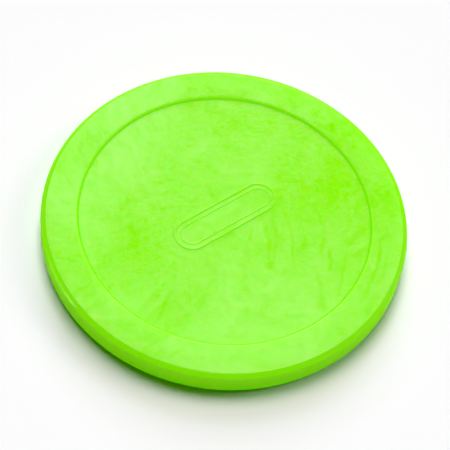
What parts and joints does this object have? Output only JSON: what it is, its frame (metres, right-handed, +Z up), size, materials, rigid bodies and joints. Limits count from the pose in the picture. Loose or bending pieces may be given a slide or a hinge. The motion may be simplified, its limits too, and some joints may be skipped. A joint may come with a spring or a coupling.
{
  "type": "air hockey puck",
  "caption": "Round lime green plastic air hockey puck with a flat rim, a shallow sunk centre field and bevelled edges, made to glide on an air table and be struck with mallets.",
  "frame": {"origin": "centre of the underside, on the plane the puck lies on", "axes": "+Z up along the disc's axis, +X and +Y in the plane of the disc"},
  "size_m": [0.0826, 0.0826, 0.0063],
  "materials": {
    "green_plastic": "satin moulded plastic, coloured through, with faint cloudy mottling and flow marks"
  },
  "bodies": {
    "root": {"puck_body": "green_plastic"}
  },
  "joints": []
}
